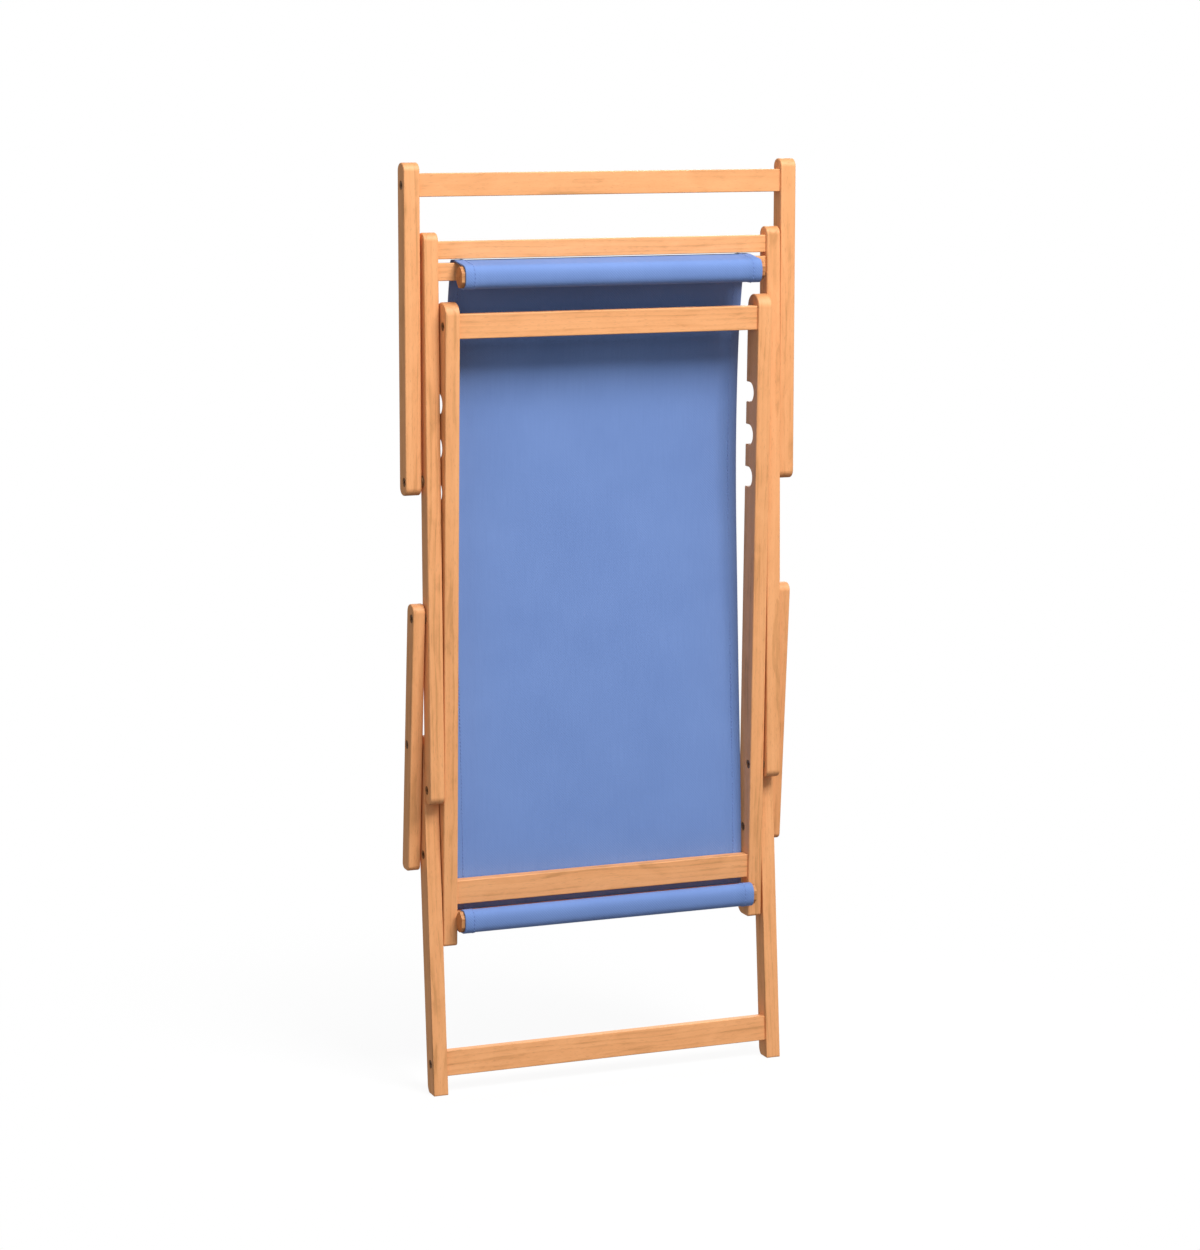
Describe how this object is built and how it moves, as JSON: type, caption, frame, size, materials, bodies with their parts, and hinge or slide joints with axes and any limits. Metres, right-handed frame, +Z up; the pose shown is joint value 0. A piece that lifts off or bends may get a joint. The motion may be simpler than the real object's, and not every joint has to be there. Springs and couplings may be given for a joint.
{
  "type": "folding deck chair",
  "caption": "Folding timber deck chair with hinged seat, back, leg and prop frames, armrests and a canvas sling, folded flat and standing on its feet.",
  "frame": {"origin": "middle of the folded chair's bounding box, on the floor under the feet of the leg frame", "axes": "+X across the chair to the right of someone who faces its back, +Y from the rails' front towards the canvas's slack side, +Z up along the folded frames"},
  "size_m": [0.56, 0.0846, 1.2306],
  "materials": {
    "frame_timber": "oiled teak, satin",
    "batten_timber": "oiled teak, satin",
    "dowel_timber": "plain, glued",
    "fastener_metal": "dark bronze, satin",
    "canvas": "woven canvas, matt"
  },
  "bodies": {
    "seat_frame": {"seat_stile_left": "frame_timber", "seat_stile_right": "frame_timber", "seat_rear_rail": "frame_timber", "seat_front_rail": "frame_timber", "seat_sling_rail": "frame_timber", "seat_rail_screws": "fastener_metal", "seat_rail_dowels": "dowel_timber", "front_batten": "batten_timber", "back_pivot_bolts": "fastener_metal", "back_pivot_nuts": "fastener_metal", "back_pivot_washers": "fastener_metal", "leg_pivot_bolts": "fastener_metal", "leg_pivot_nuts": "fastener_metal", "leg_pivot_washers": "fastener_metal"},
    "back_frame": {"back_stile_left": "frame_timber", "back_stile_right": "frame_timber", "back_top_rail": "frame_timber", "back_sling_rail": "frame_timber", "back_rail_dowels": "dowel_timber", "head_batten": "batten_timber", "sling": "canvas", "prop_pivot_bolts": "fastener_metal", "prop_pivot_nuts": "fastener_metal", "prop_pivot_washers": "fastener_metal", "arm_rear_bolts": "fastener_metal", "arm_rear_nuts": "fastener_metal", "arm_rear_washers": "fastener_metal"},
    "leg_frame": {"leg_stile_left": "frame_timber", "leg_stile_right": "frame_timber", "leg_rail": "frame_timber", "leg_rail_screws": "fastener_metal"},
    "left_armrest": {"armrest_left": "frame_timber", "arm_front_bolt_left": "fastener_metal", "arm_front_nut_left": "fastener_metal", "arm_front_washer_left": "fastener_metal"},
    "right_armrest": {"armrest_right": "frame_timber", "arm_front_bolt_right": "fastener_metal", "arm_front_nut_right": "fastener_metal", "arm_front_washer_right": "fastener_metal"},
    "prop_frame": {"prop_stile_left": "frame_timber", "prop_stile_right": "frame_timber", "prop_crossbar": "frame_timber", "prop_crossbar_screws": "fastener_metal"}
  },
  "joints": [
    {"name": "back_fold", "type": "hinge", "parent": "seat_frame", "child": "back_frame", "pos_m": [0, -0.01041, 0.41], "axis": [-1, 0, 0], "range_deg": [0, 57.8], "deforming": ["sling"]},
    {"name": "leg_fold", "type": "hinge", "parent": "seat_frame", "child": "leg_frame", "pos_m": [0, 0.00259, 0.32], "axis": [-1, 0, 0], "range_deg": [0, 70.2]},
    {"name": "left_armrest_pivot", "type": "hinge", "parent": "back_frame", "child": "left_armrest", "pos_m": [0, -0.00041, 0.639], "axis": [1, 0, 0], "range_deg": [0, 38.8]},
    {"name": "right_armrest_pivot", "type": "hinge", "parent": "back_frame", "child": "right_armrest", "pos_m": [0, -0.00041, 0.639], "axis": [1, 0, 0], "range_deg": [0, 38.8]},
    {"name": "prop_swing", "type": "hinge", "parent": "back_frame", "child": "prop_frame", "pos_m": [0, 0.00959, 0.818], "axis": [1, 0, 0], "range_deg": [0, 120]}
  ],
  "couplings": [
    {"joint": "leg_fold", "follows": "back_fold", "ratio": 1.2138},
    {"joint": "left_armrest_pivot", "follows": "back_fold", "ratio": 0.6695},
    {"joint": "right_armrest_pivot", "follows": "back_fold", "ratio": 0.6695}
  ]
}
